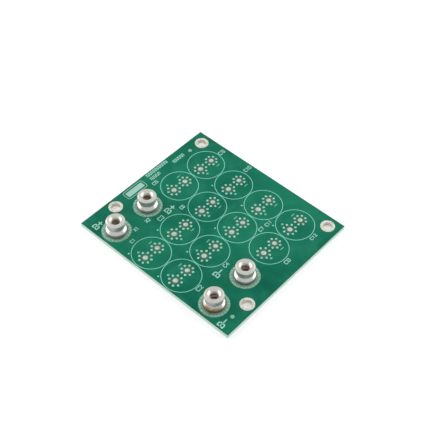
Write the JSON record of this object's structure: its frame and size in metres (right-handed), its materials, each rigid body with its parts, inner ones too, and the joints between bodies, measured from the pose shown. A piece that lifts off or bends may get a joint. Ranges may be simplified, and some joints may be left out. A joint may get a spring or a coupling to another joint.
{
  "type": "evaluation board",
  "caption": "Green circuit board with plated capacitor places in printed circles, screw terminals in tinned rings and plated mounting holes at the edges.",
  "frame": {"origin": "middle of the board's underside", "axes": "+X along the lettering, +Y up the board, +Z out of the component side"},
  "size_m": [0.08, 0.09, 0.0094],
  "materials": {
    "solder_mask": "green solder mask over glass-epoxy laminate, pale cut edges",
    "tinned_land": "hot-air levelled tin, slightly uneven",
    "filled_via": "filled via under thin mask",
    "terminal_land": "dull tin under a trace of mask",
    "terminal_metal": "turned brass, bright tin plate",
    "solder": "smooth solder fillet",
    "silkscreen_ink": "thin pale ink"
  },
  "bodies": {
    "root": {"circuit_board": "solder_mask", "capacitor_plus_pads": "tinned_land", "capacitor_minus_pads": "tinned_land", "capacitor_plus_vias": "filled_via", "capacitor_minus_vias": "filled_via", "mounting_land_top_left": "tinned_land", "mounting_land_top_right": "tinned_land", "mounting_land_bottom_left": "tinned_land", "mounting_land_bottom_right": "tinned_land", "terminal_positive_left": "terminal_metal", "terminal_positive_right": "terminal_metal", "terminal_negative_left": "terminal_metal", "terminal_negative_right": "terminal_metal", "terminal_land_positive_left": "terminal_land", "terminal_land_positive_right": "terminal_land", "terminal_land_negative_left": "terminal_land", "terminal_land_negative_right": "terminal_land", "solder_fillet_positive_left": "solder", "solder_fillet_positive_right": "solder", "solder_fillet_negative_left": "solder", "solder_fillet_negative_right": "solder", "terminal_vias": "filled_via", "fiducials": "terminal_land", "capacitor_outlines": "silkscreen_ink", "polarity_marks": "silkscreen_ink", "outline_dots": "silkscreen_ink", "write_on_field": "silkscreen_ink"}
  },
  "joints": []
}
